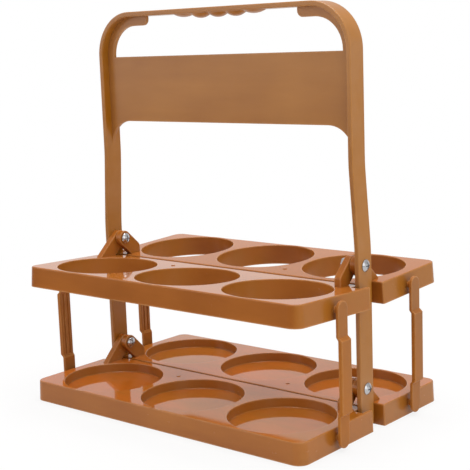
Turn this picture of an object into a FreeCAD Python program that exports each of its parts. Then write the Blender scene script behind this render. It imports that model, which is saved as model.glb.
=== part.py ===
import FreeCAD, Part
import math
import os

# Folding two-tier carrier for six bottles or cups, all sizes in millimetres.
# X runs along the trays, -Y is the front, +Z is up. The origin is on the floor, midway between the trays.

# Bottle holes: three in a row in each tray.
hole_radius = 41.4
hole_rim = 0.6
hole_gap = 7.0
hole_count = 3
hole_inner_margin = 7.6
hole_outer_margin = 2.1
hole_end_margin = 8.8

# Trays: shallow shells, open below, a little wider at the foot than at the top.
tray_height = 16.8
tray_draft = 0.73
tray_wall = 2.0
tray_corner = 8.0
tray_inner_corner = 1.0
tray_edge = 1.0
tray_centre_gap = 0.3
upper_pitch = 2.4
recess_depth = 8.0
recess_floor = 2.0
recess_fillet = 0.8
gate_radius = 1.6
gate_height = 0.5
gate_offset = 16.0

# Tray ends: a notch that clears the leg, and a flap outside the leg at one end.
notch_side_clearance = 4.4
notch_corner = 1.2
flap_gap = 3.0

# Handle: a flat band bent into an upside-down U, with a thin panel across it.
band_thickness = 4.0
band_width = 17.2
band_edge = 0.9
leg_inset = 6.0
leg_foot_gap = 3.0
leg_bow = 4.0
leg_bow_margin = 0.5
leg_bend = 12.0
leg_run = 103.3
handle_corner = 36.0
panel_height = 54.4
panel_thickness = 3.0
panel_fillet = 22.0
panel_edge = 0.5
hand_opening = 33.0
corner_web = 7.5
corner_web_tail = 16.0
corner_web_round = 5.0
ridge_count = 5
ridge_pitch = 18.2
ridge_depth = 4.0
ridge_end_depth = 2.6
ridge_valley = 0.5
ridge_side_inset = 0.9

# Pivots and the ears that carry the trays.
pivot_rise = 15.1
pivot_spacing = 94.6
eye_radius = 6.5
ear_thickness = 5.7
ear_reach = 17.3
ear_sink = 1.0
ear_edge = 0.7
ear_toe_round = 4.0
side_gap = 0.3

# Pivot screws and nuts.
shank_radius = 2.5
pivot_clearance = 0.08
head_radius = 4.6
head_height = 2.7
head_rim = 0.6
recess_width = 1.1
recess_length = 5.0
recess_cut = 1.6
nut_flats = 8.0
nut_height = 3.0
screw_tip = 0.3

# Side links: jogged bars that keep each upper tray parallel to the lower one.
link_width = 12.0
link_plate = 2.5
link_middle_plate = 3.5
link_jog = 2.7
link_top_flat = 19.0
link_foot_flat = 17.0
link_slope = 2.3
link_end_run = 1.0
link_stand_off = 4.7
link_drop = 22.5
link_edge = 0.7
groove_width = 2.2
groove_depth = 0.8
groove_spacing = 4.4
boss_radius = 2.8
boss_gap = 0.5
peg_radius = 2.2
peg_head_step = 0.9
peg_head_length = 2.0
peg_head_gap = 0.4

# Worked-out places.
hole_pitch = 2.0 * hole_radius + hole_gap
hole_row = hole_inner_margin + hole_radius
half_length = 0.5 * (hole_count - 1) * hole_pitch + hole_radius + hole_end_margin
tray_reach = hole_row + hole_radius + hole_outer_margin
inner_edge = tray_centre_gap + tray_draft
tray_top = -pivot_rise
tray_foot = tray_top - tray_height
lower_pivot = tray_height + pivot_rise
upper_pivot = lower_pivot + pivot_spacing
leg_outer = half_length - leg_inset
leg_inner = leg_outer - band_thickness
notch_face = leg_inner - side_gap
notch_half = 0.5 * band_width + notch_side_clearance
flap_face = half_length - tray_wall
ear_outer_b = leg_inner - side_gap
ear_outer_a = ear_outer_b - ear_thickness - side_gap
stack_inner = ear_outer_a - ear_thickness - side_gap
panel_bottom = upper_pivot + leg_run
panel_top = panel_bottom + panel_height
band_top_inner = panel_top + hand_opening
handle_top = band_top_inner + band_thickness
band_outer = leg_outer - leg_bow
link_inner = half_length + link_stand_off
screw_length = leg_outer - stack_inner + nut_height + screw_tip

FAR = 4.0 * (half_length + handle_top)
NEAR = 0.01
X_AXIS = FreeCAD.Vector(1, 0, 0)
Y_AXIS = FreeCAD.Vector(0, 1, 0)
Z_AXIS = FreeCAD.Vector(0, 0, 1)
ORIGIN = FreeCAD.Vector(0, 0, 0)


def box(low, high):
    """A box between two opposite corners."""
    sizes = [high[i] - low[i] for i in range(3)]
    return Part.makeBox(sizes[0], sizes[1], sizes[2], FreeCAD.Vector(*low))


def line(start, end):
    """A straight edge."""
    return Part.makeLine(FreeCAD.Vector(*start), FreeCAD.Vector(*end))


def arc(start, middle, end):
    """A circular edge through three points."""
    return Part.Arc(FreeCAD.Vector(*start), FreeCAD.Vector(*middle), FreeCAD.Vector(*end)).toShape()


def on_circle(centre, radius, degrees):
    """A point (across, up) on a circle."""
    angle = math.radians(degrees)
    return (centre[0] + radius * math.cos(angle), centre[1] + radius * math.sin(angle))


def rounded_rectangle(x_half, y_low, y_high, inner_radius, outer_radius, z):
    """A closed outline at one height, with its own radius for the corners at y_low and at y_high."""
    k = 1.0 - math.sqrt(0.5)
    a = inner_radius
    b = outer_radius
    edges = [
        line((-x_half + a, y_low, z), (x_half - a, y_low, z)),
        arc((x_half - a, y_low, z), (x_half - k * a, y_low + k * a, z), (x_half, y_low + a, z)),
        line((x_half, y_low + a, z), (x_half, y_high - b, z)),
        arc((x_half, y_high - b, z), (x_half - k * b, y_high - k * b, z), (x_half - b, y_high, z)),
        line((x_half - b, y_high, z), (-x_half + b, y_high, z)),
        arc((-x_half + b, y_high, z), (-x_half + k * b, y_high - k * b, z), (-x_half, y_high - b, z)),
        line((-x_half, y_high - b, z), (-x_half, y_low + a, z)),
        arc((-x_half, y_low + a, z), (-x_half + k * a, y_low + k * a, z), (-x_half + a, y_low, z)),
    ]
    return Part.Wire(edges)


def tray_outline(inset, growth, z):
    """The tray's plan at one height, grown by its draft and drawn in by an inset."""
    change = growth - inset
    return rounded_rectangle(
        half_length + change,
        inner_edge - change,
        tray_reach + change,
        tray_inner_corner + growth,
        max(tray_corner + change, tray_inner_corner),
        z,
    )


def tray_block():
    """The tray's outer form, with its top edge rounded."""
    outlines = [tray_outline(0.0, tray_draft, tray_foot), tray_outline(0.0, 0.0, tray_top)]
    block = Part.makeLoft(outlines, True, True)
    top_edges = [edge for edge in block.Edges if edge.BoundBox.ZMin > tray_top - NEAR]
    return block.makeFillet(tray_edge, top_edges)


def notches(grow):
    """The notches at both ends of the inner edge, and the end of the flap, grown by a wall."""
    low_end = box(
        (-flap_face - grow, -FAR, -FAR),
        (-notch_face + grow, notch_half + grow, FAR),
    )
    flap_end = box((-FAR, -FAR, -FAR), (-flap_face + grow, flap_gap + grow, FAR))
    high_end = box((notch_face - grow, -FAR, -FAR), (FAR, notch_half + grow, FAR))
    return [low_end, flap_end, high_end]


def notched_block():
    """The outer form with its notches, and the outer corner of the open notch rounded."""
    body = tray_block().cut(notches(0.0))
    corner = [
        edge
        for edge in body.Edges
        if abs(edge.BoundBox.YMin - notch_half) < NEAR
        and abs(edge.BoundBox.YMax - notch_half) < NEAR
        and edge.BoundBox.XMin > half_length - NEAR
        and edge.BoundBox.ZLength > 0.5 * tray_height
    ]
    return body.makeFillet(notch_corner, corner)


def tray_cavity():
    """The hollow under the tray's top, leaving walls beside the notches."""
    roof = tray_top - tray_wall
    hollow = Part.makeLoft(
        [tray_outline(tray_wall, tray_draft, tray_foot), tray_outline(tray_wall, 0.0, roof)], True, True
    )
    return hollow.cut(notches(tray_wall))


def hole_places():
    """The X places of the holes in one tray."""
    return [(i - 0.5 * (hole_count - 1)) * hole_pitch for i in range(hole_count)]


def collar(x, low):
    """The round wall of one hole or recess."""
    centre = FreeCAD.Vector(x, hole_row, low)
    return Part.makeCylinder(hole_radius + tray_wall, tray_top - low, centre)


def revolve_profile(points_and_edges, x):
    """A solid turned about one hole's upright axis."""
    face = Part.Face(Part.Wire(points_and_edges))
    face.translate(FreeCAD.Vector(x, hole_row, 0))
    return face.revolve(FreeCAD.Vector(x, hole_row, 0), Z_AXIS, 360)


def rim_edges(high):
    """The rounded rim of a hole and the free space above it."""
    k = hole_rim * (1.0 - math.sqrt(0.5))
    wide = hole_radius + hole_rim
    return [
        arc(
            (hole_radius, 0, tray_top - hole_rim),
            (hole_radius + k, 0, tray_top - k),
            (wide, 0, tray_top),
        ),
        line((wide, 0, tray_top), (wide, 0, high)),
        line((wide, 0, high), (0, 0, high)),
    ]


def hole_cutter(x):
    """The space of one through hole."""
    low = tray_foot - tray_wall
    high = eye_radius + tray_wall
    edges = rim_edges(high) + [
        line((0, 0, high), (0, 0, low)),
        line((0, 0, low), (hole_radius, 0, low)),
        line((hole_radius, 0, low), (hole_radius, 0, tray_top - hole_rim)),
    ]
    return revolve_profile(edges, x)


def recess_cutter(x):
    """The space of one round recess with a rounded foot."""
    low = tray_top - recess_depth
    high = eye_radius + tray_wall
    k = recess_fillet * (1.0 - math.sqrt(0.5))
    edges = rim_edges(high) + [
        line((0, 0, high), (0, 0, low)),
        line((0, 0, low), (hole_radius - recess_fillet, 0, low)),
        arc(
            (hole_radius - recess_fillet, 0, low),
            (hole_radius - k, 0, low + k),
            (hole_radius, 0, low + recess_fillet),
        ),
        line((hole_radius, 0, low + recess_fillet), (hole_radius, 0, tray_top - hole_rim)),
    ]
    return revolve_profile(edges, x)


def cut_upright(bar):
    """An ear's bar cut off upright, clear of the hole beside it, with its upper corner rounded."""
    short = bar.cut(box((-FAR, ear_reach, -FAR), (FAR, FAR, FAR)))
    corner = [
        edge
        for edge in short.Edges
        if edge.BoundBox.YMin > ear_reach - NEAR
        and edge.BoundBox.ZLength < NEAR
        and edge.BoundBox.ZMin > tray_top
    ]
    return short.makeFillet(ear_toe_round, corner)


def ear(x_low, short):
    """One slanted ear, whole or cut short, from the tray's top to an eye on the pivot."""
    diagonal = eye_radius * math.sqrt(0.5)
    base = tray_top - ear_sink
    toe = 2.0 * diagonal - base
    root = -2.0 * diagonal - base
    corners = [
        (x_low, diagonal, diagonal),
        (x_low, toe, base),
        (x_low, root, base),
        (x_low, -diagonal, -diagonal),
        (x_low, diagonal, diagonal),
    ]
    arm = Part.Face(Part.makePolygon([FreeCAD.Vector(*corner) for corner in corners]))
    bar = arm.extrude(X_AXIS * ear_thickness)
    if short:
        bar = cut_upright(bar)
    eye = Part.makeCylinder(eye_radius, ear_thickness, FreeCAD.Vector(x_low, 0, 0), X_AXIS)
    body = bar.fuse(eye).removeSplitter()
    rim = [edge for edge in body.Edges if edge.BoundBox.XLength < NEAR and edge.BoundBox.ZMax > base + NEAR]
    return body.makeFillet(ear_edge, rim)


def eye_bore():
    """The pivot bore through both ears of a tray."""
    return Part.makeCylinder(shank_radius + pivot_clearance, 2.0 * FAR, FreeCAD.Vector(-FAR, 0, 0), X_AXIS)


def gate_mark():
    """The small round mark left by moulding, between two holes."""
    centre = FreeCAD.Vector(0.5 * hole_pitch, inner_edge + gate_offset, tray_top - gate_height)
    return Part.makeCylinder(gate_radius, 2.0 * gate_height, centre)


def peg_bores():
    """The bores for the link pegs in both end walls."""
    start = FreeCAD.Vector(-FAR, hole_row, -link_drop)
    drill = Part.makeCylinder(peg_radius + pivot_clearance, 2.0 * FAR, start, X_AXIS)
    middle = half_length - 0.5 * hole_end_margin
    return drill.cut(box((-middle, -FAR, -FAR), (middle, FAR, FAR)))


def tray(recessed, pitch):
    """A tray about its pivot axis, reaching towards +Y and pitched up by an angle."""
    low = tray_top - recess_depth - recess_floor if recessed else tray_foot
    cutter = recess_cutter if recessed else hole_cutter
    shell = notched_block().cut(tray_cavity())
    additions = [collar(x, low) for x in hole_places()]
    additions.append(ear(-ear_outer_a, True))
    additions.append(ear(ear_outer_b - ear_thickness, False))
    additions.append(gate_mark())
    body = shell.fuse(additions)
    body = body.cut([cutter(x) for x in hole_places()] + [eye_bore()])
    body = body.removeSplitter()
    body.rotate(ORIGIN, X_AXIS, pitch)
    return body.cut(peg_bores())


def band_profile(offset):
    """Points and arcs of the U, drawn in by an offset from its outer face, from right foot to left foot."""
    low = leg_outer - offset
    high = band_outer - offset
    bow_low = upper_pivot + eye_radius + leg_bow_margin
    bow_high = panel_bottom - panel_fillet - leg_bow_margin
    slope = leg_bow / (bow_high - bow_low - leg_bend)
    swerve = 0.5 * leg_bend * slope
    half_bend = 0.5 * leg_bend
    centre = (band_outer - handle_corner, handle_top - handle_corner)
    radius = handle_corner - offset
    half = on_circle(centre, radius, 45.0)

    def side(sign):
        return [
            line((sign * low, 0, leg_foot_gap), (sign * low, 0, bow_low)),
            arc(
                (sign * low, 0, bow_low),
                (sign * (low - 0.25 * swerve), 0, bow_low + half_bend),
                (sign * (low - swerve), 0, bow_low + leg_bend),
            ),
            line(
                (sign * (low - swerve), 0, bow_low + leg_bend),
                (sign * (high + swerve), 0, bow_high - leg_bend),
            ),
            arc(
                (sign * (high + swerve), 0, bow_high - leg_bend),
                (sign * (high + 0.25 * swerve), 0, bow_high - half_bend),
                (sign * high, 0, bow_high),
            ),
            line((sign * high, 0, bow_high), (sign * high, 0, centre[1])),
            arc(
                (sign * high, 0, centre[1]),
                (sign * half[0], 0, half[1]),
                (sign * centre[0], 0, centre[1] + radius),
            ),
        ]

    top = line((centre[0], 0, centre[1] + radius), (-centre[0], 0, centre[1] + radius))
    return side(1), top, side(-1)


def handle_band():
    """The bent band with its long edges rounded."""
    right_out, top_out, left_out = band_profile(0.0)
    right_in, top_in, left_in = band_profile(band_thickness)
    feet = [
        line((sign * leg_inner, 0, leg_foot_gap), (sign * leg_outer, 0, leg_foot_gap)) for sign in (1, -1)
    ]
    edges = right_out + left_out + right_in + left_in + feet + [top_out, top_in]
    face = Part.Face(Part.Wire(Part.__sortEdges__(edges)))
    face.translate(Y_AXIS * (-0.5 * band_width))
    band = face.extrude(Y_AXIS * band_width)
    long_edges = [edge for edge in band.Edges if edge.BoundBox.YLength < NEAR and edge.BoundBox.ZLength > NEAR]
    long_edges += [
        edge
        for edge in band.Edges
        if edge.BoundBox.YLength < NEAR and edge.BoundBox.ZMin > panel_top and edge.BoundBox.ZLength <= NEAR
    ]
    return band.makeFillet(band_edge, long_edges)


def plate(edges):
    """A flat plate of the panel's thickness, midway in the band."""
    face = Part.Face(Part.Wire(Part.__sortEdges__(edges)))
    face.translate(Y_AXIS * (-0.5 * panel_thickness))
    body = face.extrude(Y_AXIS * panel_thickness)
    return body.makeFillet(panel_edge, [edge for edge in body.Edges if edge.BoundBox.YLength < NEAR])


def panel():
    """The panel across the legs, with a fillet under each lower corner."""
    side = band_outer - 0.5 * band_thickness
    inner = band_outer - band_thickness
    centre = (inner - panel_fillet, panel_bottom - panel_fillet)
    half = on_circle(centre, panel_fillet, 45.0)
    edges = [
        line((-side, 0, panel_top), (side, 0, panel_top)),
        line((-centre[0], 0, panel_bottom), (centre[0], 0, panel_bottom)),
    ]
    for sign in (1, -1):
        edges += [
            line((sign * side, 0, panel_top), (sign * side, 0, centre[1])),
            line((sign * side, 0, centre[1]), (sign * inner, 0, centre[1])),
            arc(
                (sign * inner, 0, centre[1]),
                (sign * half[0], 0, half[1]),
                (sign * centre[0], 0, panel_bottom),
            ),
        ]
    return plate(edges)


def corner_plate(sign):
    """The web inside one upper corner, running on under the grip to a rounded end."""
    outer = handle_corner - 0.5 * band_thickness
    inner = handle_corner - band_thickness - corner_web
    centre = (band_outer - handle_corner, handle_top - handle_corner)
    outer_half = on_circle(centre, outer, 45.0)
    inner_half = on_circle(centre, inner, 45.0)
    tail = centre[0] - corner_web_tail
    web_low = centre[1] + inner
    round_centre = (tail + corner_web_round, web_low + corner_web_round)
    round_half = on_circle(round_centre, corner_web_round, 225.0)
    foot = panel_top - panel_thickness
    edges = [
        line((sign * (centre[0] + outer), 0, foot), (sign * (centre[0] + outer), 0, centre[1])),
        arc(
            (sign * (centre[0] + outer), 0, centre[1]),
            (sign * outer_half[0], 0, outer_half[1]),
            (sign * centre[0], 0, centre[1] + outer),
        ),
        line((sign * centre[0], 0, centre[1] + outer), (sign * tail, 0, centre[1] + outer)),
        line((sign * tail, 0, centre[1] + outer), (sign * tail, 0, round_centre[1])),
        arc(
            (sign * tail, 0, round_centre[1]),
            (sign * round_half[0], 0, round_half[1]),
            (sign * round_centre[0], 0, web_low),
        ),
        line((sign * round_centre[0], 0, web_low), (sign * centre[0], 0, web_low)),
        arc(
            (sign * centre[0], 0, web_low),
            (sign * inner_half[0], 0, inner_half[1]),
            (sign * (centre[0] + inner), 0, centre[1]),
        ),
        line((sign * (centre[0] + inner), 0, centre[1]), (sign * (centre[0] + inner), 0, foot)),
        line((sign * (centre[0] + inner), 0, foot), (sign * (centre[0] + outer), 0, foot)),
    ]
    return plate(edges)


def finger_ridge(index):
    """One barrel-shaped ridge under the grip; the first and last are shallower."""
    last = ridge_count - 1
    depth = ridge_end_depth if index in (0, last) else ridge_depth
    x = (index - 0.5 * last) * ridge_pitch
    half = 0.5 * ridge_pitch
    side = 0.5 * band_width - ridge_side_inset
    z = band_top_inner
    axis = z + (side**2 - depth**2) / (2.0 * depth)
    valley = z - ridge_valley
    edges = [
        arc((x - half, 0, valley), (x, 0, z - depth), (x + half, 0, valley)),
        line((x + half, 0, valley), (x + half, 0, axis)),
        line((x + half, 0, axis), (x - half, 0, axis)),
        line((x - half, 0, axis), (x - half, 0, valley)),
    ]
    barrel = Part.Face(Part.Wire(edges)).revolve(FreeCAD.Vector(0, 0, axis), X_AXIS, 360)
    return barrel.common(box((x - half, -side, z - depth), (x + half, side, z + 0.5 * band_thickness)))


def handle_frame():
    """The handle moulding: band, panel, corner webs, finger ridges and four screw holes."""
    pieces = [panel(), corner_plate(1), corner_plate(-1)]
    pieces += [finger_ridge(i) for i in range(ridge_count)]
    body = handle_band().fuse(pieces)
    drills = [
        Part.makeCylinder(shank_radius + pivot_clearance, 2.0 * FAR, FreeCAD.Vector(-FAR, 0, z), X_AXIS)
        for z in (lower_pivot, upper_pivot)
    ]
    return body.cut(drills).removeSplitter()


def on_link_side(edge):
    """Whether an edge runs along the sides or round the ends of a link."""
    reach = max(edge.BoundBox.YMax, -edge.BoundBox.YMin)
    return edge.BoundBox.ZLength > NEAR and abs(reach - 0.5 * link_width) < NEAR


def link():
    """The side link at the +X end, about its upper peg, hanging down to its lower peg."""
    half = 0.5 * link_width
    top = link_end_run + half
    foot = -pivot_spacing - top
    inner = link_inner
    outer = link_inner + link_plate
    middle_outer = outer + link_jog
    middle_inner = middle_outer - link_middle_plate
    jog_start = -link_top_flat
    jog_end = jog_start - link_slope
    low_start = -pivot_spacing + link_foot_flat
    low_end = low_start + link_slope
    corners = [
        (inner, top),
        (outer, top),
        (outer, jog_start),
        (middle_outer, jog_end),
        (middle_outer, low_end),
        (outer, low_start),
        (outer, foot),
        (inner, foot),
        (inner, low_start),
        (middle_inner, low_end),
        (middle_inner, jog_end),
        (inner, jog_start),
        (inner, top),
    ]
    points = [FreeCAD.Vector(x, -half, z) for x, z in corners]
    bar = Part.Face(Part.makePolygon(points)).extrude(Y_AXIS * link_width)
    rounds = [
        Part.makeCylinder(half, link_plate + link_jog, FreeCAD.Vector(inner, 0, z), X_AXIS)
        for z in (link_end_run, -pivot_spacing - link_end_run)
    ]
    straight = box((inner, -half, -pivot_spacing - link_end_run), (middle_outer, half, link_end_run))
    body = bar.common(straight.fuse(rounds)).removeSplitter()
    body = body.makeFillet(link_edge, [edge for edge in body.Edges if on_link_side(edge)])
    grooves = [
        box(
            (middle_inner - link_jog, y - 0.5 * groove_width, low_end),
            (middle_inner + groove_depth, y + 0.5 * groove_width, jog_end),
        )
        for y in (-0.5 * groove_spacing, 0.5 * groove_spacing)
    ]
    pegs = [peg(z) for z in (0.0, -pivot_spacing)]
    return body.cut(grooves).fuse(pegs).removeSplitter()


def peg(z):
    """A boss that spaces the link from the tray, a peg through its end wall and a head inside."""
    boss_face = half_length + tray_draft + boss_gap
    head_face = half_length - tray_wall - peg_head_gap
    tip = head_face - peg_head_length
    boss = Part.makeCylinder(boss_radius, link_inner - boss_face, FreeCAD.Vector(boss_face, 0, z), X_AXIS)
    shaft = Part.makeCylinder(peg_radius, boss_face - tip, FreeCAD.Vector(tip, 0, z), X_AXIS)
    head = Part.makeCone(
        peg_radius,
        peg_radius + peg_head_step,
        peg_head_length,
        FreeCAD.Vector(tip, 0, z),
        X_AXIS,
    )
    return boss.fuse([shaft, head])


def screw():
    """A domed cross-recess screw along X, its head towards +X and its seat at the origin."""
    dome_rise = head_height - head_rim
    dome_radius = (head_radius**2 + dome_rise**2) / (2.0 * dome_rise)
    centre = FreeCAD.Vector(head_height - dome_radius, 0, 0)
    dome = Part.makeSphere(dome_radius, centre)
    rim = Part.makeCylinder(head_radius, head_height, ORIGIN, X_AXIS)
    head = rim.common(dome)
    shank = Part.makeCylinder(shank_radius, screw_length, X_AXIS * (-screw_length), X_AXIS)
    half_width = 0.5 * recess_width
    half_span = 0.5 * recess_length
    floor = head_height - recess_cut
    slots = [
        box((floor, -half_width, -half_span), (head_height, half_width, half_span)),
        box((floor, -half_span, -half_width), (head_height, half_span, half_width)),
    ]
    return head.fuse(shank).cut(slots).removeSplitter()


def nut():
    """A hexagon nut along X, its seat at the origin and its body towards -X."""
    corner = nut_flats / math.sqrt(3.0)
    points = []
    for i in range(7):
        across, up = on_circle((0.0, 0.0), corner, 60.0 * i)
        points.append(FreeCAD.Vector(0, across, up))
    body = Part.Face(Part.makePolygon(points)).extrude(X_AXIS * (-nut_height))
    return body.cut(Part.makeCylinder(shank_radius, nut_height, ORIGIN, -X_AXIS))


def placed(shape, x, y, z, turn):
    """A copy turned about the upright axis and then moved."""
    copy = shape.copy()
    copy.rotate(ORIGIN, Z_AXIS, turn)
    copy.translate(FreeCAD.Vector(x, y, z))
    return copy


def all_pieces():
    """Every piece in its place, by name."""
    pieces = {"handle_frame": handle_frame()}
    upper = tray(False, upper_pitch)
    lower = tray(True, 0.0)
    for side, turn in (("back", 0.0), ("front", 180.0)):
        pieces["upper_tray_" + side] = placed(upper, 0, 0, upper_pivot, turn)
        pieces["lower_tray_" + side] = placed(lower, 0, 0, lower_pivot, turn)
    bar = link()
    for end, turn in (("right", 0.0), ("left", 180.0)):
        for side, y in (("front", -hole_row), ("back", hole_row)):
            pieces["link_" + side + "_" + end] = placed(bar, 0, y, upper_pivot - link_drop, turn)
    fastener = screw()
    clamp = nut()
    for level, z in (("upper", upper_pivot), ("lower", lower_pivot)):
        for end, seat in (("right", leg_outer), ("left", -stack_inner)):
            nut_seat = seat - (leg_outer - stack_inner)
            pieces["screw_" + level + "_" + end] = placed(fastener, seat, 0, z, 0.0)
            pieces["nut_" + level + "_" + end] = placed(clamp, nut_seat, 0, z, 0.0)
    return pieces


os.makedirs("parts", exist_ok=True)
for name, shape in all_pieces().items():
    shape.exportStep(os.path.join("parts", name + ".step"))
    print(name, len(shape.Solids), round(shape.Volume / 1000.0, 2), "cm3", shape.isValid())
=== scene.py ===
import logging
import math
from dataclasses import dataclass, field, replace
from enum import Enum

import bpy
from mathutils import Matrix, Vector

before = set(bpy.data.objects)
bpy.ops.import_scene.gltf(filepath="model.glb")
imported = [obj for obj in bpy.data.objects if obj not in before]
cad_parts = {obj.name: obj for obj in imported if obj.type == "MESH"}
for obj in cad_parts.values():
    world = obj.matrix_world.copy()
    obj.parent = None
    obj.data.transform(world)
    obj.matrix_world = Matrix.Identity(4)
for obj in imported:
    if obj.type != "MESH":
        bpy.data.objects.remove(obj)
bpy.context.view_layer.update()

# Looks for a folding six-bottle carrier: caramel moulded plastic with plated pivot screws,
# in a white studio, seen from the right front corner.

LOG = logging.getLogger("carrier")
Colour = tuple[float, float, float]
Place = tuple[float, float, float]
Value = bpy.types.NodeSocket | float


class Level(Enum):
    """The two tiers of trays."""

    UPPER = "upper"
    LOWER = "lower"


class Side(Enum):
    """The front or the back half of the carrier."""

    FRONT = "front"
    BACK = "back"


class End(Enum):
    """The right (+X) or left (-X) end of the carrier."""

    RIGHT = "right"
    LEFT = "left"


class Fastener(Enum):
    """The two pieces of a pivot."""

    SCREW = "screw"
    NUT = "nut"


class Streaks(Enum):
    """Which way the flow streaks of a moulding run, as waves per metre along X, Y and Z."""

    ALONG_TRAYS = (12.0, 70.0, 70.0)
    UPRIGHT = (70.0, 70.0, 12.0)


class Kind(Enum):
    """The socket types of the node groups."""

    COLOUR = "NodeSocketColor"
    NUMBER = "NodeSocketFloat"
    VECTOR = "NodeSocketVector"


@dataclass(frozen=True)
class Noise:
    """The look of one noise texture: waves per metre, finer layers and their strength."""

    scale: float
    detail: float
    roughness: float


@dataclass(frozen=True)
class Fade:
    """A smooth change from the first value, at start, to the last value, at end."""

    start: float
    end: float
    first: float = 0.0
    last: float = 1.0


# Colour drift: broad clouds and flow streaks, as a share of the lighter colour round its middle.
BROAD_CLOUDS = Noise(9.0, 3.0, 0.5)
FLOW_STREAKS = Noise(1.0, 4.0, 0.55)
STREAK_SHARE = 0.5
DRIFT_MIDDLE = 0.75
LIGHT_SHARE = 0.42

# Faces told apart by their normal: level tops, and ends that fade in over bent faces. Tops and ends
# take lighter colours of their own, painted light for how light falls on them; the top mask also
# makes tops glossier.
TOP_NORMAL = 0.9
END_NORMAL = Fade(0.35, 0.9)

# Skin of the moulding.
MOULD_WAVES = Noise(60.0, 2.0, 0.4)
MOULD_GRAIN = Noise(2600.0, 2.0, 0.5)

# Handled roughness: soft clouds, and scuffs where their noise passes a level.
WEAR_CLOUDS = Noise(22.0, 4.0, 0.6)
CLOUD_MIDDLE = 0.5
SCUFFS = Noise(240.0, 3.0, 0.7)
SCUFF_LEVEL = 0.62

# Pale outer edges, painted edge highlight and wear: how far the inside is felt for an edge, and how
# the pale line breaks up.
EDGE_REACH = 0.0014
EDGE_SAMPLES = 8
EDGE_OPENNESS = Fade(0.95, 0.65)
EDGE_BREAKS = Noise(90.0, 3.0, 0.6)
EDGE_BREAK_GAIN = 1.6
EDGE_BREAK_SHIFT = -0.2

COAT_REFRACTION = 1.4
COAT_ROUGHNESS = 0.05


def opaque(colour: Colour) -> tuple[float, float, float, float]:
    """Gives a colour with full alpha."""
    return (*colour, 1.0)


class TreeBuilder:
    """Adds nodes and links to one node tree."""

    def __init__(self, tree: bpy.types.NodeTree) -> None:
        """Takes the tree to build in."""
        self.tree = tree

    def node(self, kind: str, **values: object) -> bpy.types.Node:
        """Adds a node and sets its properties.

        Args:
            kind: The node's Blender type.
            values: Properties to set on it.

        Returns:
            The new node.
        """
        made = self.tree.nodes.new(kind)
        for key, value in values.items():
            setattr(made, key, value)
        return made

    def link(self, source: bpy.types.NodeSocket, target: bpy.types.NodeSocket) -> None:
        """Joins an output to an input."""
        self.tree.links.new(source, target)

    def math(self, operation: str, *values: Value, clamp: bool = False) -> bpy.types.NodeSocket:
        """Adds a math node on sockets or numbers.

        Args:
            operation: The math node's operation.
            values: Its inputs, in order.
            clamp: Whether the result stays between 0 and 1.

        Returns:
            The result's socket.
        """
        made = self.node("ShaderNodeMath", operation=operation, use_clamp=clamp)
        for socket, value in zip(made.inputs, values):
            if isinstance(value, bpy.types.NodeSocket):
                self.link(value, socket)
            else:
                socket.default_value = value
        return made.outputs["Value"]

    def fade(self, look: Fade, value: bpy.types.NodeSocket) -> bpy.types.NodeSocket:
        """Adds a smooth fade of a value.

        Args:
            look: Where the fade starts and ends, and its two values.
            value: The value that is read.

        Returns:
            The faded value's socket.
        """
        made = self.node("ShaderNodeMapRange", interpolation_type="SMOOTHSTEP")
        made.inputs["From Min"].default_value = look.start
        made.inputs["From Max"].default_value = look.end
        made.inputs["To Min"].default_value = look.first
        made.inputs["To Max"].default_value = look.last
        self.link(value, made.inputs["Value"])
        return made.outputs["Result"]

    def place(self, output: str = "Object") -> bpy.types.NodeSocket:
        """Adds a texture coordinate, in the object's own space unless another is named."""
        return self.node("ShaderNodeTexCoord").outputs[output]

    def part_of(self, vector: bpy.types.NodeSocket, axis: str) -> bpy.types.NodeSocket:
        """Adds a split of a vector and picks one axis.

        Args:
            vector: The vector's socket.
            axis: X, Y or Z.

        Returns:
            The socket of that axis.
        """
        split = self.node("ShaderNodeSeparateXYZ")
        self.link(vector, split.inputs["Vector"])
        return split.outputs[axis]

    def noise(self, look: Noise, place: bpy.types.NodeSocket | None = None) -> bpy.types.NodeSocket:
        """Adds a noise texture.

        Args:
            look: Its scale and layers.
            place: Where it is read, which is the piece's own space if left out.

        Returns:
            The socket of its strength.
        """
        made = self.node("ShaderNodeTexNoise")
        made.inputs["Scale"].default_value = look.scale
        made.inputs["Detail"].default_value = look.detail
        made.inputs["Roughness"].default_value = look.roughness
        self.link(place or self.place(), made.inputs["Vector"])
        return made.outputs["Fac"]

    def upward(self) -> bpy.types.NodeSocket:
        """Adds a mask that is 1 on level top faces and 0 elsewhere."""
        return self.math("GREATER_THAN", self.part_of(self.place("Normal"), "Z"), TOP_NORMAL)

    def endward(self) -> bpy.types.NodeSocket:
        """Adds a mask that is 1 on end faces, soft on bent ones, and 0 on the front, back and top."""
        along = self.math("ABSOLUTE", self.part_of(self.place("Normal"), "X"))
        return self.fade(END_NORMAL, along)

    def mix(
        self,
        share: bpy.types.NodeSocket,
        first: bpy.types.NodeSocket,
        second: bpy.types.NodeSocket,
    ) -> bpy.types.NodeSocket:
        """Adds a mix of two colours.

        Args:
            share: The second colour's share.
            first: The first colour.
            second: The second colour.

        Returns:
            The mixed colour's socket.
        """
        made = self.node("ShaderNodeMix", data_type="RGBA")
        self.link(share, made.inputs["Factor"])
        self.link(first, made.inputs["A"])
        self.link(second, made.inputs["B"])
        return made.outputs["Result"]


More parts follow.
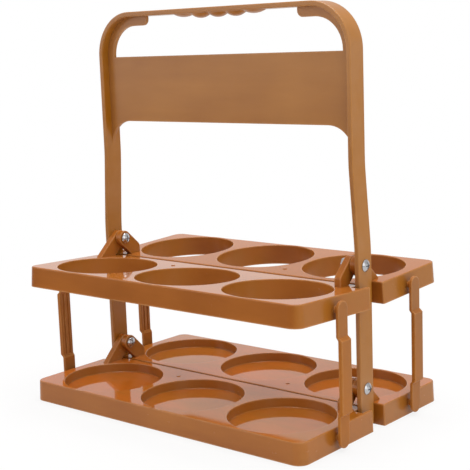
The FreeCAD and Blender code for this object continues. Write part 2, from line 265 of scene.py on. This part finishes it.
class GroupBuilder(TreeBuilder):
    """Builds one shader node group with named sockets."""

    def __init__(self, name: str) -> None:
        """Starts an empty group.

        Args:
            name: The group's name.
        """
        super().__init__(bpy.data.node_groups.new(name, "ShaderNodeTree"))
        self.start = self.node("NodeGroupInput")
        self.end = self.node("NodeGroupOutput")

    def takes(self, kind: Kind, *names: str) -> None:
        """Adds input sockets, whose values each material sets.

        Args:
            kind: Their type.
            names: Their names.
        """
        for name in names:
            self.tree.interface.new_socket(name=name, in_out="INPUT", socket_type=kind.value)

    def given(self, name: str) -> bpy.types.NodeSocket:
        """Finds what an input socket brings in."""
        return self.start.outputs[name]

    def gives(self, kind: Kind, name: str, source: bpy.types.NodeSocket) -> None:
        """Adds an output socket and feeds it.

        Args:
            kind: Its type.
            name: Its name.
            source: What it puts out.
        """
        self.tree.interface.new_socket(name=name, in_out="OUTPUT", socket_type=kind.value)
        self.link(source, self.end.inputs[name])


class MaterialBuilder(TreeBuilder):
    """Builds one material round its Principled shader."""

    def __init__(self, name: str) -> None:
        """Starts a material.

        Args:
            name: The material's name.
        """
        self.material = bpy.data.materials.new(name)
        self.material.use_nodes = True
        super().__init__(self.material.node_tree)
        self.shader = self.tree.nodes["Principled BSDF"]

    def insert(self, group: bpy.types.NodeTree, values: dict[str, object]) -> bpy.types.Node:
        """Adds a shared node group.

        Args:
            group: The group.
            values: The values of its inputs, by name.

        Returns:
            The group's node.
        """
        made = self.node("ShaderNodeGroup", node_tree=group)
        for name, value in values.items():
            made.inputs[name].default_value = value
        return made

    def settle(self, name: str, value: float) -> None:
        """Sets a number on the shader."""
        self.shader.inputs[name].default_value = value

    def feed(self, name: str, source: bpy.types.NodeSocket) -> None:
        """Joins an output to the shader."""
        self.link(source, self.shader.inputs[name])


class SurfaceGroups:
    """The shared surface effects, each built once as a node group."""

    def __init__(self) -> None:
        """Builds every group."""
        self.drift = self.build_drift_and_painted_light()
        self.texture = self.build_texture()
        self.rubbed = self.build_rubbed()
        self.highlit_worn = self.build_highlit_worn()

    @staticmethod
    def build_drift_and_painted_light() -> bpy.types.NodeTree:
        """Builds the slow colour drift of moulded plastic, with faint flow streaks, over painted
        light: lighter colours on level tops and end faces.

        Returns:
            A group with a Colour output.
        """
        group = GroupBuilder("Colour drift and painted light")
        group.takes(Kind.COLOUR, "Colour", "Light Colour", "Painted Light Top Colour", "Painted Light End Colour")
        group.takes(Kind.NUMBER, "Amount")
        group.takes(Kind.VECTOR, "Stretch")
        stretch = group.node("ShaderNodeMapping")
        group.link(group.given("Stretch"), stretch.inputs["Scale"])
        group.link(group.place(), stretch.inputs["Vector"])
        streak = group.noise(FLOW_STREAKS, stretch.outputs["Vector"])
        both = group.math("MULTIPLY_ADD", streak, STREAK_SHARE, group.noise(BROAD_CLOUDS))
        centred = group.math("SUBTRACT", both, DRIFT_MIDDLE)
        amount = group.given("Amount")
        share = group.math("MULTIPLY_ADD", centred, amount, LIGHT_SHARE, clamp=True)
        # Level tops and end faces take their own lighter colours: painted light.
        base = group.mix(group.upward(), group.given("Colour"), group.given("Painted Light Top Colour"))
        whole = group.mix(group.endward(), base, group.given("Painted Light End Colour"))
        tinted = group.mix(share, whole, group.given("Light Colour"))
        group.gives(Kind.COLOUR, "Colour", tinted)
        return group.tree

    @staticmethod
    def build_texture() -> bpy.types.NodeTree:
        """Builds the fine skin of a moulding: a soft waviness with a finer grain on it.

        Returns:
            A group with a Height output.
        """
        group = GroupBuilder("Mould skin")
        group.takes(Kind.NUMBER, "Waviness", "Grain")
        low = group.math("MULTIPLY", group.noise(MOULD_WAVES), group.given("Waviness"))
        high = group.math("MULTIPLY", group.noise(MOULD_GRAIN), group.given("Grain"))
        group.gives(Kind.NUMBER, "Height", group.math("ADD", low, high))
        return group.tree

    @staticmethod
    def build_rubbed() -> bpy.types.NodeTree:
        """Builds a handled surface: its roughness with clouds and scuffs, and glossier tops.

        Returns:
            A group with Roughness and Coat outputs.
        """
        group = GroupBuilder("Handled roughness")
        group.takes(Kind.NUMBER, "Roughness", "Cloud", "Scuff", "Top Gloss", "Top Coat")
        marks = group.math("SUBTRACT", group.noise(SCUFFS), SCUFF_LEVEL, clamp=True)
        scuffs = group.math("MULTIPLY", marks, group.given("Scuff"))
        level = group.math("SUBTRACT", group.noise(WEAR_CLOUDS), CLOUD_MIDDLE)
        clouds = group.math("MULTIPLY", level, group.given("Cloud"))
        wear = group.math("ADD", clouds, scuffs)
        total = group.math("ADD", group.given("Roughness"), wear)
        tops = group.upward()
        polish = group.math("MULTIPLY", tops, group.given("Top Gloss"))
        coat = group.math("MULTIPLY", tops, group.given("Top Coat"))
        group.gives(Kind.NUMBER, "Roughness", group.math("SUBTRACT", total, polish, clamp=True))
        group.gives(Kind.NUMBER, "Coat", coat)
        return group.tree

    @staticmethod
    def build_highlit_worn() -> bpy.types.NodeTree:
        """Builds pale lines along outer edges, painted edge highlight and wear, broken up in spots by
        noise.

        Returns:
            A group with a Colour output.
        """
        group = GroupBuilder("Painted edge highlight and wear")
        group.takes(Kind.COLOUR, "Colour", "Edge Highlight Colour")
        group.takes(Kind.NUMBER, "Amount")
        depth = group.node(
            "ShaderNodeAmbientOcclusion", inside=True, only_local=True, samples=EDGE_SAMPLES
        )
        depth.inputs["Distance"].default_value = EDGE_REACH
        edges = group.fade(EDGE_OPENNESS, depth.outputs["AO"])
        spots = group.noise(EDGE_BREAKS)
        breaks = group.math("MULTIPLY_ADD", spots, EDGE_BREAK_GAIN, EDGE_BREAK_SHIFT)
        marks = group.math("MULTIPLY", edges, breaks, clamp=True)
        share = group.math("MULTIPLY", marks, group.given("Amount"), clamp=True)
        highlit_worn = group.mix(share, group.given("Colour"), group.given("Edge Highlight Colour"))
        group.gives(Kind.COLOUR, "Colour", highlit_worn)
        return group.tree


@dataclass(frozen=True)
class PlasticFinish:
    """A glossy moulded plastic."""

    name: str
    colour: Colour
    light_colour: Colour
    painted_light_top_colour: Colour
    painted_light_end_colour: Colour
    edge_highlight_colour: Colour
    edge_highlight_and_wear: float
    drift: float
    streaks: Streaks
    refraction: float
    roughness: float
    top_gloss: float
    top_coat: float
    cloud: float
    scuff: float
    waviness: float
    grain: float
    bump_distance: float

    def build(self, groups: SurfaceGroups) -> bpy.types.Material:
        """Builds the material.

        Args:
            groups: The shared surface effects.

        Returns:
            The new material.
        """
        made = MaterialBuilder(self.name)
        made.settle("IOR", self.refraction)
        made.settle("Coat IOR", COAT_REFRACTION)
        made.settle("Coat Roughness", COAT_ROUGHNESS)
        drift = made.insert(
            groups.drift,
            {
                "Colour": opaque(self.colour),
                "Light Colour": opaque(self.light_colour),
                "Painted Light Top Colour": opaque(self.painted_light_top_colour),
                "Painted Light End Colour": opaque(self.painted_light_end_colour),
                "Amount": self.drift,
                "Stretch": self.streaks.value,
            },
        )
        # Pale outer edges: painted edge highlight and wear.
        highlit_worn = made.insert(
            groups.highlit_worn, {"Edge Highlight Colour": opaque(self.edge_highlight_colour), "Amount": self.edge_highlight_and_wear}
        )
        made.link(drift.outputs["Colour"], highlit_worn.inputs["Colour"])
        made.feed("Base Color", highlit_worn.outputs["Colour"])
        rubbed = made.insert(
            groups.rubbed,
            {
                "Roughness": self.roughness,
                "Cloud": self.cloud,
                "Scuff": self.scuff,
                "Top Gloss": self.top_gloss,
                "Top Coat": self.top_coat,
            },
        )
        made.feed("Roughness", rubbed.outputs["Roughness"])
        if self.top_coat > 0.0:
            made.feed("Coat Weight", rubbed.outputs["Coat"])
        skin = made.insert(groups.texture, {"Waviness": self.waviness, "Grain": self.grain})
        bump = made.node("ShaderNodeBump")
        bump.inputs["Strength"].default_value = 1.0
        bump.inputs["Distance"].default_value = self.bump_distance
        made.link(skin.outputs["Height"], bump.inputs["Height"])
        made.feed("Normal", bump.outputs["Normal"])
        return made.material


@dataclass(frozen=True)
class PlatedFinish:
    """A bright plated steel with slight clouding."""

    name: str
    colour: Colour
    light_colour: Colour
    drift: float
    streaks: Streaks
    roughness: float
    cloud: float
    scuff: float

    def build(self, groups: SurfaceGroups) -> bpy.types.Material:
        """Builds the material.

        Args:
            groups: The shared surface effects.

        Returns:
            The new material.
        """
        made = MaterialBuilder(self.name)
        made.settle("Metallic", 1.0)
        drift = made.insert(
            groups.drift,
            {
                "Colour": opaque(self.colour),
                "Light Colour": opaque(self.light_colour),
                "Painted Light Top Colour": opaque(self.colour),
                "Painted Light End Colour": opaque(self.colour),
                "Amount": self.drift,
                "Stretch": self.streaks.value,
            },
        )
        made.feed("Base Color", drift.outputs["Colour"])
        rubbed = made.insert(
            groups.rubbed,
            {"Roughness": self.roughness, "Cloud": self.cloud, "Scuff": self.scuff},
        )
        made.feed("Roughness", rubbed.outputs["Roughness"])
        return made.material


OCHRE: Colour = (0.33, 0.126, 0.028)
OCHRE_LIGHT: Colour = (0.41, 0.17, 0.038)
# Golden colour of the handle's end faces: painted light.
LIT_END_AMBER: Colour = (0.38, 0.136, 0.003)
GOLDEN: Colour = (0.325, 0.096, 0.0085)
GOLDEN_LIGHT: Colour = (0.411, 0.138, 0.0155)
# Bright colour of the lower trays' tops, under the upper trays: painted light.
LIT_TOP_RUSSET: Colour = (0.565, 0.145, 0.017)
# Lighter colour of the lower trays' end faces: painted light.
LIT_END_TAWNY: Colour = (0.364, 0.141, 0.0245)
# Darker sides of the upper trays, a copy of the lower trays' plastic: painted shade.
SHADED_SIENNA: Colour = (0.292, 0.0845, 0.0105)
SIENNA_LIGHT: Colour = (0.395, 0.123, 0.0165)
# Colour of the upper trays' tops, lighter than their sides: painted light.
LIT_TOP_CARAMEL: Colour = (0.39, 0.12, 0.019)
# Lighter colour of the upper trays' end faces: painted light.
LIT_END_BRONZE: Colour = (0.368, 0.134, 0.017)
# Pale colour of outer edges: painted edge highlight and wear.
PALE_EDGE_HIGHLIGHT_AND_WEAR: Colour = (0.59, 0.295, 0.115)

HANDLE_PLASTIC = PlasticFinish(
    name="ochre_handle_plastic",
    colour=OCHRE,
    light_colour=OCHRE_LIGHT,
    painted_light_top_colour=OCHRE,
    # The end faces are painted lighter and more golden: painted light.
    painted_light_end_colour=LIT_END_AMBER,
    edge_highlight_colour=PALE_EDGE_HIGHLIGHT_AND_WEAR,
    edge_highlight_and_wear=0.8,
    drift=2.6,
    streaks=Streaks.ALONG_TRAYS,
    refraction=1.42,
    roughness=0.3,
    top_gloss=0.0,
    top_coat=0.0,
    cloud=0.08,
    scuff=0.25,
    waviness=0.3,
    grain=0.02,
    bump_distance=0.0004,
)
LOWER_TRAY_PLASTIC = PlasticFinish(
    name="caramel_lower_tray_plastic",
    colour=GOLDEN,
    light_colour=GOLDEN_LIGHT,
    # Tops and end faces of the lower trays are painted lighter: painted light.
    painted_light_top_colour=LIT_TOP_RUSSET,
    painted_light_end_colour=LIT_END_TAWNY,
    edge_highlight_colour=PALE_EDGE_HIGHLIGHT_AND_WEAR,
    edge_highlight_and_wear=0.8,
    drift=2.6,
    streaks=Streaks.ALONG_TRAYS,
    refraction=1.43,
    roughness=0.26,
    top_gloss=0.21,
    top_coat=0.45,
    cloud=0.05,
    scuff=0.15,
    waviness=0.12,
    grain=0.006,
    bump_distance=0.0003,
)
# The upper trays take a darker copy of this plastic: darker sides are painted shade, and their
# lighter tops and ends are painted light.
UPPER_TRAY_PLASTIC = replace(
    LOWER_TRAY_PLASTIC,
    name="caramel_upper_tray_plastic",
    colour=SHADED_SIENNA,
    light_colour=SIENNA_LIGHT,
    painted_light_top_colour=LIT_TOP_CARAMEL,
    painted_light_end_colour=LIT_END_BRONZE,
    refraction=1.31,
    top_coat=0.0,
)
LINK_PLASTIC = PlasticFinish(
    name="golden_link_plastic",
    colour=GOLDEN,
    light_colour=GOLDEN_LIGHT,
    painted_light_top_colour=GOLDEN,
    # The links' end faces take a lighter ochre: painted light.
    painted_light_end_colour=OCHRE,
    edge_highlight_colour=PALE_EDGE_HIGHLIGHT_AND_WEAR,
    edge_highlight_and_wear=0.8,
    drift=2.8,
    streaks=Streaks.UPRIGHT,
    refraction=1.26,
    roughness=0.3,
    top_gloss=0.0,
    top_coat=0.0,
    cloud=0.08,
    scuff=0.3,
    waviness=0.3,
    grain=0.02,
    bump_distance=0.0004,
)
PLATED_STEEL = PlatedFinish(
    name="plated_screw_steel",
    colour=(0.40, 0.40, 0.42),
    light_colour=(0.62, 0.61, 0.60),
    drift=0.8,
    streaks=Streaks.ALONG_TRAYS,
    roughness=0.24,
    cloud=0.1,
    scuff=0.3,
)


def dress(node: str, material: bpy.types.Material) -> None:
    """Gives one piece its material.

    Args:
        node: The piece's name.
        material: Its material.
    """
    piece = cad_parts[node]
    piece.data.materials.clear()
    piece.data.materials.append(material)
    LOG.info("%s wears %s", node, material.name)


@dataclass
class Handle:
    """The bent handle with its panel."""

    node: str = "handle_frame"
    finish: PlasticFinish = HANDLE_PLASTIC

    def build(self, groups: SurfaceGroups) -> None:
        """Dresses the handle."""
        dress(self.node, self.finish.build(groups))


@dataclass
class TraySet:
    """The two trays, front and back, of one tier."""

    level: Level
    finish: PlasticFinish
    sides: tuple[Side, ...] = (Side.FRONT, Side.BACK)

    def build(self, groups: SurfaceGroups) -> None:
        """Dresses both trays.

        Args:
            groups: The shared surface effects.
        """
        material = self.finish.build(groups)
        for side in self.sides:
            dress(f"{self.level.value}_tray_{side.value}", material)


@dataclass
class LinkSet:
    """The four side links."""

    sides: tuple[Side, ...] = (Side.FRONT, Side.BACK)
    ends: tuple[End, ...] = (End.RIGHT, End.LEFT)
    finish: PlasticFinish = LINK_PLASTIC

    def build(self, groups: SurfaceGroups) -> None:
        """Dresses every link.

        Args:
            groups: The shared surface effects.
        """
        material = self.finish.build(groups)
        for side in self.sides:
            for end in self.ends:
                dress(f"link_{side.value}_{end.value}", material)


@dataclass
class PivotHardware:
    """The screws and nuts of the four pivots."""

    fasteners: tuple[Fastener, ...] = (Fastener.SCREW, Fastener.NUT)
    levels: tuple[Level, ...] = (Level.UPPER, Level.LOWER)
    ends: tuple[End, ...] = (End.RIGHT, End.LEFT)
    finish: PlatedFinish = PLATED_STEEL

    def build(self, groups: SurfaceGroups) -> None:
        """Dresses every screw and nut.

        Args:
            groups: The shared surface effects.
        """
        material = self.finish.build(groups)
        for fastener in self.fasteners:
            for level in self.levels:
                for end in self.ends:
                    dress(f"{fastener.value}_{level.value}_{end.value}", material)


@dataclass(frozen=True)
class SoftBox:
    """One large soft lamp aimed at the carrier."""

    name: str
    place: Place
    width: float
    height: float
    power: float

    def build(self, target: Vector) -> None:
        """Adds the lamp.

        Args:
            target: The point it is aimed at.
        """
        lamp = bpy.data.lights.new(self.name, "AREA")
        lamp.shape = "RECTANGLE"
        lamp.size = self.width
        lamp.size_y = self.height
        lamp.energy = self.power
        holder = bpy.data.objects.new(self.name, lamp)
        holder.location = self.place
        aim = target - Vector(self.place)
        holder.rotation_euler = aim.to_track_quat("-Z", "Y").to_euler()
        bpy.context.scene.collection.objects.link(holder)


KEY_LAMP = SoftBox("key_lamp", place=(-1.28, -1.53, 0.66), width=1.7, height=1.1, power=7.0)
STRIP_LAMP = SoftBox("strip_lamp", place=(1.55, -0.6, 0.7), width=1.1, height=1.3, power=5.0)
TOP_LAMP = SoftBox("top_lamp", place=(0.1, 0.2, 2.2), width=2.0, height=1.6, power=50.0)


class StudioBuilder(TreeBuilder):
    """Adds what the floor and the sky have in common: what each kind of ray sees of them."""

    def seen_white(self) -> bpy.types.NodeSocket:
        """Adds a mask of the rays that see the studio as white.

        Returns:
            A socket that is 1 for camera, glossy and transmission rays.
        """
        path = self.node("ShaderNodeLightPath")
        seen = self.math("MAXIMUM", path.outputs["Is Camera Ray"], path.outputs["Is Glossy Ray"])
        return self.math("MAXIMUM", seen, path.outputs["Is Transmission Ray"])

    def in_reflections(self, value: bpy.types.NodeSocket) -> bpy.types.NodeSocket:
        """Adds a value that holds only in reflections.

        Args:
            value: What glossy rays get.

        Returns:
            A socket with that value for glossy rays, and 1 for all others.
        """
        path = self.node("ShaderNodeLightPath")
        made = self.node("ShaderNodeMix", data_type="FLOAT")
        made.inputs["A"].default_value = 1.0
        self.link(path.outputs["Is Glossy Ray"], made.inputs["Factor"])
        self.link(value, made.inputs["B"])
        return made.outputs["Result"]


@dataclass
class Studio:
    """The white studio: floor, sky and soft lamps.

    The floor glows white to the eye and less so near the carrier, where its shadow shows. In
    reflections the floor is dark far out in front, and the sky is dimmer higher up.
    """

    floor_half: float = 6.0
    floor_drop: float = 0.0002
    floor_colour: Colour = (0.76, 0.75, 0.74)
    floor_glow: Fade = Fade(0.2, 0.75, first=0.84, last=1.0)
    floor_reflection: Fade = Fade(-0.2, -0.5, first=1.0, last=0.0)
    sky_colour: Colour = (1.0, 1.0, 1.0)
    sky_light: Fade = Fade(0.0, 1.0, first=0.5, last=1.0)
    sky_reflection: Fade = Fade(0.16, 0.3, first=1.0, last=0.66)
    target: Place = (0.0, 0.0, 0.14)
    lamps: tuple[SoftBox, ...] = (KEY_LAMP, STRIP_LAMP, TOP_LAMP)

    def floor_material(self) -> bpy.types.Material:
        """Builds the floor's material.

        Returns:
            The new material.
        """
        material = bpy.data.materials.new("pale_floor")
        material.use_nodes = True
        material.node_tree.nodes.clear()
        made = StudioBuilder(material.node_tree)
        matt = made.node("ShaderNodeBsdfDiffuse")
        matt.inputs["Color"].default_value = opaque(self.floor_colour)
        glow = made.node("ShaderNodeEmission")
        ahead = made.fade(self.floor_reflection, made.part_of(made.place(), "Y"))
        made.link(made.in_reflections(ahead), glow.inputs["Strength"])
        reach = made.node("ShaderNodeVectorMath", operation="LENGTH")
        made.link(made.place(), reach.inputs["Vector"])
        near = made.fade(self.floor_glow, reach.outputs["Value"])
        mixed = made.node("ShaderNodeMixShader")
        made.link(made.math("MULTIPLY", made.seen_white(), near), mixed.inputs["Fac"])
        made.link(matt.outputs["BSDF"], mixed.inputs[1])
        made.link(glow.outputs["Emission"], mixed.inputs[2])
        out = made.node("ShaderNodeOutputMaterial")
        made.link(mixed.outputs["Shader"], out.inputs["Surface"])
        return material

    def build_floor(self) -> None:
        """Lays the floor under the carrier."""
        half = self.floor_half
        low = -self.floor_drop
        mesh = bpy.data.meshes.new("studio_floor")
        corners = [(-half, -half, low), (half, -half, low), (half, half, low), (-half, half, low)]
        mesh.from_pydata(corners, [], [(0, 1, 2, 3)])
        mesh.materials.append(self.floor_material())
        floor = bpy.data.objects.new("studio_floor", mesh)
        bpy.context.scene.collection.objects.link(floor)

    def build_sky(self) -> None:
        """Fills the world with white to the eye and a weaker fill light."""
        world = bpy.data.worlds.new("studio_sky")
        world.use_nodes = True
        bpy.context.scene.world = world
        made = StudioBuilder(world.node_tree)
        back = world.node_tree.nodes["Background"]
        back.inputs["Color"].default_value = opaque(self.sky_colour)
        level = made.fade(self.sky_light, made.seen_white())
        height = made.part_of(made.place("Generated"), "Z")
        dimmed = made.in_reflections(made.fade(self.sky_reflection, height))
        made.link(made.math("MULTIPLY", level, dimmed), back.inputs["Strength"])

    def build(self) -> None:
        """Sets up the whole studio."""
        self.build_floor()
        self.build_sky()
        for lamp in self.lamps:
            lamp.build(Vector(self.target))
            LOG.info("lamp %s", lamp.name)


@dataclass(frozen=True)
class Viewpoint:
    """The camera, turned about a point of the carrier: angles in degrees, lengths in metres."""

    azimuth: float = 40.23
    elevation: float = 9.50
    roll: float = -2.07
    distance: float = 0.92241
    target: Place = (0.00873, 0.0, 0.13944)
    focal_pixels: float = 1140.36
    frame_pixels: float = 470.0
    sensor_mm: float = 36.0
    near_clip: float = 0.01

    def build(self) -> None:
        """Adds the camera and makes it the scene's own."""
        azimuth = math.radians(self.azimuth)
        elevation = math.radians(self.elevation)
        roll = math.radians(self.roll)
        level = math.cos(elevation)
        back = Vector(
            (math.sin(azimuth) * level, -math.cos(azimuth) * level, math.sin(elevation))
        )
        right = (-back).cross(Vector((0.0, 0.0, 1.0))).normalized()
        up = back.cross(right)
        turned_right = right * math.cos(roll) + up * math.sin(roll)
        turned_up = up * math.cos(roll) - right * math.sin(roll)
        lens = bpy.data.cameras.new("photo_camera")
        lens.sensor_width = self.sensor_mm
        lens.lens = self.focal_pixels / self.frame_pixels * self.sensor_mm
        lens.clip_start = self.near_clip
        holder = bpy.data.objects.new("photo_camera", lens)
        spin = Matrix((turned_right, turned_up, back)).transposed().to_4x4()
        place = Vector(self.target) + back * self.distance
        holder.matrix_world = Matrix.Translation(place) @ spin
        bpy.context.scene.collection.objects.link(holder)
        bpy.context.scene.camera = holder


@dataclass
class Carrier:
    """The whole carrier, by its assemblies."""

    assemblies: tuple[Handle | TraySet | LinkSet | PivotHardware, ...] = field(
        default_factory=lambda: (
            Handle(),
            TraySet(Level.UPPER, UPPER_TRAY_PLASTIC),
            TraySet(Level.LOWER, LOWER_TRAY_PLASTIC),
            LinkSet(),
            PivotHardware(),
        )
    )

    def build(self, groups: SurfaceGroups) -> None:
        """Dresses every assembly."""
        for assembly in self.assemblies:
            assembly.build(groups)


def main() -> None:
    """Builds the carrier's looks, the studio and the camera."""
    logging.basicConfig(level=logging.INFO, format="%(name)s: %(message)s")
    bpy.context.scene.view_settings.view_transform = "Standard"
    Carrier().build(SurfaceGroups())
    Studio().build()
    Viewpoint().build()


if __name__ == "__main__":
    main()
